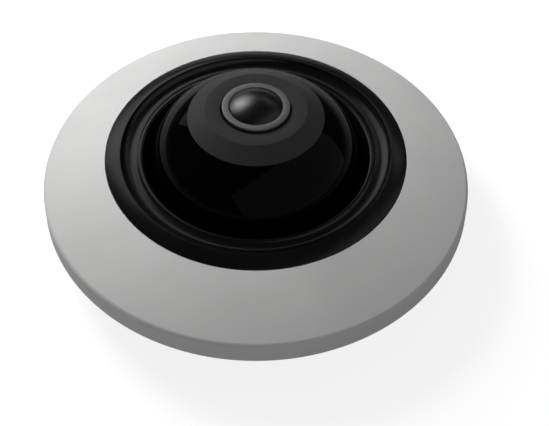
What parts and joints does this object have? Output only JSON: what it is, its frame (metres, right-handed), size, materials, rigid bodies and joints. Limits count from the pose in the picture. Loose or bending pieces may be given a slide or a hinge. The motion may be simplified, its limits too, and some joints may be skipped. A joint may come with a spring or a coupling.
{
  "type": "fisheye ceiling camera",
  "caption": "Round ceiling camera with a pale conical cover, black stepped ring, glossy dome and fisheye lens on a twist-lock plate.",
  "frame": {"origin": "centre of the ceiling face of the mounting plate", "axes": "+Z out of the ceiling along the lens axis, +X over the service pocket, +Y over the filter coil"},
  "size_m": [0.12, 0.12, 0.0413],
  "materials": {
    "plate_plastic": "moulded, fine matt texture",
    "shell_plastic": "moulded, fine matt texture",
    "label_foil": "blank brushed foil",
    "black_rubber": "matt moulded rubber",
    "screw_steel": "zinc-plated",
    "cover_plastic": "moulded, silky white",
    "black_satin_plastic": "polished black moulding",
    "black_gloss_plastic": "mirror-polished black",
    "ring_aluminium": "turned, satin grey anodised",
    "lens_glass": "coated optical glass over a dark barrel",
    "black_anodised": "black anodised",
    "inner_glass": "polished optical glass",
    "brass_nut": "turned brass",
    "black_matt_plastic": "glass-filled black moulding",
    "filter_glass": "interference-coated filter glass",
    "lever_plastic": "natural acetal",
    "magnet_metal": "nickel-plated magnet",
    "coil_copper": "enamelled winding in tape",
    "sensor_ceramic": "fired package",
    "board_green": "solder mask on glass epoxy",
    "ivory_plastic": "ivory nylon",
    "ribbon_film": "polyimide film",
    "chip_black": "moulded epoxy",
    "pad_silicone": "silicone pad",
    "spreader_aluminium": "extruded, plain",
    "can_aluminium": "drawn can",
    "ferrite_grey": "pressed ferrite",
    "socket_steel": "stamped, tin-plated",
    "card_plastic": "plain black card",
    "button_plastic": "moulded white"
  },
  "bodies": {
    "plate": {"mounting_plate": "plate_plastic"},
    "camera": {"back_shell": "shell_plastic", "service_pocket": "shell_plastic", "label_plate": "label_foil", "cable_bush": "black_rubber", "cover_screws": "screw_steel", "front_cover": "cover_plastic", "centre_ring": "black_satin_plastic", "dome_gasket": "black_rubber", "dome_shell": "black_gloss_plastic", "dome_screws": "screw_steel", "lens_ring": "ring_aluminium", "front_lens": "lens_glass", "lens_barrel": "black_anodised", "lens_spacer": "black_anodised", "second_lens": "inner_glass", "rear_lens": "inner_glass", "lens_retainer": "black_anodised", "lens_seal": "black_rubber", "lens_lock_nut": "brass_nut", "lens_holder": "black_matt_plastic", "holder_screws": "screw_steel", "filter_coil": "coil_copper", "image_sensor": "sensor_ceramic", "sensor_glass": "inner_glass", "sensor_board": "board_green", "sensor_board_screws": "screw_steel", "board_standoffs": "brass_nut", "ribbon_connectors": "ivory_plastic", "flat_cable": "ribbon_film", "main_board": "board_green", "main_board_screws": "screw_steel", "main_processor": "chip_black", "thermal_pad": "pad_silicone", "heat_spreader": "spreader_aluminium", "memory_chips": "chip_black", "network_transformer": "chip_black", "capacitors": "can_aluminium", "power_inductors": "ferrite_grey", "cable_header": "ivory_plastic", "card_socket": "socket_steel", "reset_switch": "chip_black"},
    "filter": {"filter_frame": "black_matt_plastic", "ir_cut_filter": "filter_glass", "clear_filter": "inner_glass"},
    "lever": {"filter_lever": "lever_plastic", "lever_magnet": "magnet_metal"},
    "card": {"memory_card": "card_plastic"},
    "button": {"reset_button": "button_plastic"}
  },
  "joints": [
    {"name": "twist_lock", "type": "hinge", "parent": "plate", "child": "camera", "pos_m": [0, 0, 0.004], "axis": [0, 0, 1], "range_deg": [0, 20]},
    {"name": "card_slide", "type": "slide", "parent": "camera", "child": "card", "axis": [1, 0, 0], "range_m": [0, 0.012]},
    {"name": "reset_press", "type": "slide", "parent": "camera", "child": "button", "axis": [-1, 0, 0], "range_m": [0, 0.0004], "stiffness_N_per_m": 800},
    {"name": "lever_turn", "type": "hinge", "parent": "camera", "child": "lever", "pos_m": [0, 0.013, 0.0236], "axis": [0, 0, 1], "range_deg": [0, 48]},
    {"name": "filter_slide", "type": "slide", "parent": "camera", "child": "filter", "axis": [1, 0, 0], "range_m": [0, 0.0064]}
  ],
  "couplings": [
    {"joint": "lever_turn", "follows": "filter_slide", "rad_per_m": 128.6}
  ]
}
